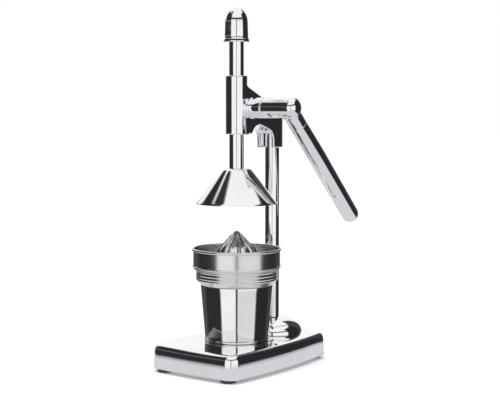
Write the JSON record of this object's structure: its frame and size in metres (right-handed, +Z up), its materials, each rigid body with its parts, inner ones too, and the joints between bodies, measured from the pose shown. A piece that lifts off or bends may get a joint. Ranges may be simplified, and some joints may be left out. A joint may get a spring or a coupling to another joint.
{
  "type": "lever citrus juice press",
  "caption": "Upright citrus press: a side lever turns a pinion that drives a rack and a cone down on a strainer with a ribbed reamer over a tapered cup.",
  "frame": {"origin": "under the middle of the press at rest, on the plane that its four feet stand on", "axes": "+Z up along the ram, +X to the right where the lever is, +Y back towards the column"},
  "size_m": [0.1346, 0.2302, 0.3907],
  "materials": {
    "polished_chrome": "polished",
    "polished_steel": "polished",
    "satin_steel": "satin",
    "plain_steel": "plain",
    "bearing_bronze": "turned",
    "black_rubber": "matt"
  },
  "bodies": {
    "stand": {"base_shell": "polished_chrome", "base_plate": "plain_steel", "column_foot": "polished_chrome", "column": "polished_chrome", "column_spacer": "plain_steel", "column_washer": "plain_steel", "column_bolt": "plain_steel", "head_casting": "polished_chrome", "saddle_screws": "plain_steel", "upper_rod_bush": "bearing_bronze", "lower_rod_bush": "bearing_bronze", "shaft_bush": "bearing_bronze", "pinion_cover": "polished_chrome", "foot_front_left": "black_rubber", "foot_front_right": "black_rubber", "foot_rear_left": "black_rubber", "foot_rear_right": "black_rubber", "foot_screws": "plain_steel"},
    "lever": {"pinion_shaft": "plain_steel", "lever_hub": "polished_chrome", "hub_grub_screw": "plain_steel", "lever_arm": "polished_chrome", "lever_end_cap": "polished_chrome"},
    "ram": {"ram_rod": "polished_chrome", "top_knob": "polished_chrome", "press_bell": "polished_chrome", "bell_washer": "plain_steel", "bell_screw": "plain_steel"},
    "cup": {"juice_cup": "polished_steel"},
    "strainer": {"strainer_bowl": "satin_steel", "reamer_cone": "satin_steel"}
  },
  "joints": [
    {"name": "lever_turn", "type": "hinge", "parent": "stand", "child": "lever", "pos_m": [-0.0048, -0.0181, 0.2826], "axis": [1, 0, 0], "range_deg": [-45.4, 224.5]},
    {"name": "ram_slide", "type": "slide", "parent": "stand", "child": "ram", "axis": [0, 0, -1], "range_m": [-0.0072, 0.0353]},
    {"name": "cup_slide", "type": "slide", "parent": "stand", "child": "cup", "axis": [0, -1, 0], "range_m": [0, 0.064]},
    {"name": "strainer_lift", "type": "slide", "parent": "cup", "child": "strainer", "axis": [0, 0, 1], "range_m": [0, 0.011]}
  ],
  "couplings": [
    {"joint": "ram_slide", "follows": "lever_turn", "m_per_rad": 0.009}
  ]
}
